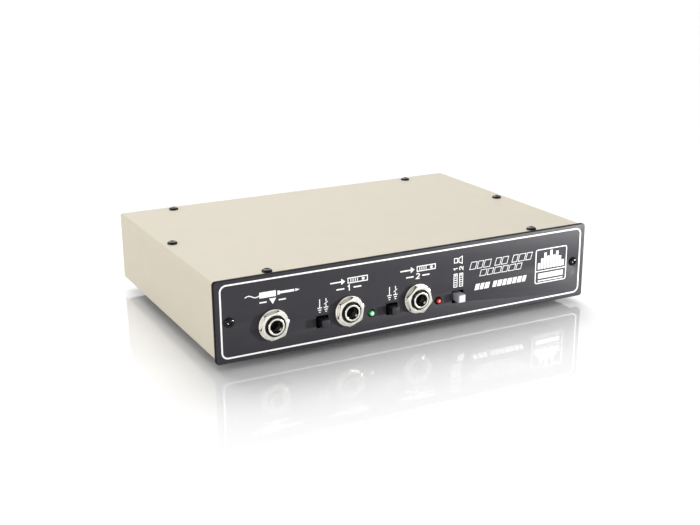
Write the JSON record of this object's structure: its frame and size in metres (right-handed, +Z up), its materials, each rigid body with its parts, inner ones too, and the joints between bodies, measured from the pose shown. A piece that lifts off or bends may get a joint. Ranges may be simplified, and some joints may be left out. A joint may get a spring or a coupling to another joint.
{
  "type": "direct injection box",
  "caption": "Low wide steel box with a dark front panel, jack sockets, push buttons and indicator lights, for splitting and switching an instrument signal between amplifiers.",
  "frame": {"origin": "on the table, under the middle of the whole object", "axes": "+X to the right seen from the front, +Y from the front panel to the back, +Z up"},
  "size_m": [0.22, 0.1586, 0.0467],
  "materials": {
    "panel_grey": "satin fine-textured dark grey paint",
    "cover_cream": "satin cream powder coat",
    "tray_black": "satin black powder coat",
    "screw_black": "blackened steel, half gloss",
    "bright_nickel": "bright nickel plate",
    "jack_plastic": "moulded black plastic",
    "switch_plastic": "moulded black plastic",
    "button_black": "half-gloss black plastic",
    "button_white": "half-gloss pale grey plastic",
    "led_green": "clear-tinted green lens, lit",
    "led_red": "clear-tinted red lens, lit",
    "rubber_black": "matt black rubber",
    "circuit_board": "green solder mask",
    "nylon_white": "natural nylon",
    "core_steel": "laminated silicon steel",
    "relay_case": "blue moulded case",
    "resistor_gold": "gold anodised",
    "ribbon_grey": "grey ribbon insulation",
    "print_white": "white screen print"
  },
  "bodies": {
    "housing": {"front_panel": "panel_grey", "top_cover": "cover_cream", "chassis_tray": "tray_black", "cover_screw_front_left": "screw_black", "cover_screw_front_right": "screw_black", "cover_screw_rear_left": "screw_black", "cover_screw_rear_right": "screw_black", "cover_screw_side_left": "screw_black", "cover_screw_side_right": "screw_black", "panel_screw_left": "screw_black", "panel_screw_right": "screw_black", "foot_screw_front_left": "screw_black", "foot_screw_front_right": "screw_black", "foot_screw_rear_left": "screw_black", "foot_screw_rear_right": "screw_black", "rubber_foot_front_left": "rubber_black", "rubber_foot_front_right": "rubber_black", "rubber_foot_rear_left": "rubber_black", "rubber_foot_rear_right": "rubber_black", "front_board": "circuit_board", "main_board": "circuit_board", "board_support_1": "nylon_white", "board_support_2": "nylon_white", "board_support_3": "nylon_white", "board_support_4": "nylon_white", "input_jack": "jack_plastic", "input_jack_ferrule": "bright_nickel", "input_jack_washer": "bright_nickel", "input_jack_nut": "bright_nickel", "amp_1_jack": "jack_plastic", "amp_1_jack_ferrule": "bright_nickel", "amp_1_jack_washer": "bright_nickel", "amp_1_jack_nut": "bright_nickel", "amp_2_jack": "jack_plastic", "amp_2_jack_ferrule": "bright_nickel", "amp_2_jack_washer": "bright_nickel", "amp_2_jack_nut": "bright_nickel", "amp_1_speaker_jack": "jack_plastic", "amp_1_speaker_jack_nut": "jack_plastic", "amp_2_speaker_jack": "jack_plastic", "amp_2_speaker_jack_nut": "jack_plastic", "cabinet_jack": "jack_plastic", "cabinet_jack_nut": "jack_plastic", "dc_inlet": "jack_plastic", "dc_inlet_nut": "bright_nickel", "ground_lift_1_switch": "switch_plastic", "ground_lift_2_switch": "switch_plastic", "selector_switch": "switch_plastic", "channel_1_led": "led_green", "channel_2_led": "led_red", "transformer_1": "core_steel", "transformer_2": "core_steel", "relay_1": "relay_case", "relay_2": "relay_case", "load_resistor": "resistor_gold", "ribbon_cable": "ribbon_grey"},
    "ground_lift_1_button": {"ground_lift_1_button": "button_black"},
    "ground_lift_2_button": {"ground_lift_2_button": "button_black"},
    "selector_button": {"selector_button": "button_white"}
  },
  "joints": [
    {"name": "ground_lift_1_press", "type": "slide", "parent": "housing", "child": "ground_lift_1_button", "axis": [0, 1, 0], "range_m": [0, 0.0022], "stiffness_N_per_m": 400, "springref_m": -0.0025},
    {"name": "ground_lift_2_press", "type": "slide", "parent": "housing", "child": "ground_lift_2_button", "axis": [0, 1, 0], "range_m": [0, 0.0022], "stiffness_N_per_m": 400, "springref_m": -0.0025},
    {"name": "selector_press", "type": "slide", "parent": "housing", "child": "selector_button", "axis": [0, 1, 0], "range_m": [0, 0.0022], "stiffness_N_per_m": 400, "springref_m": -0.0025}
  ]
}
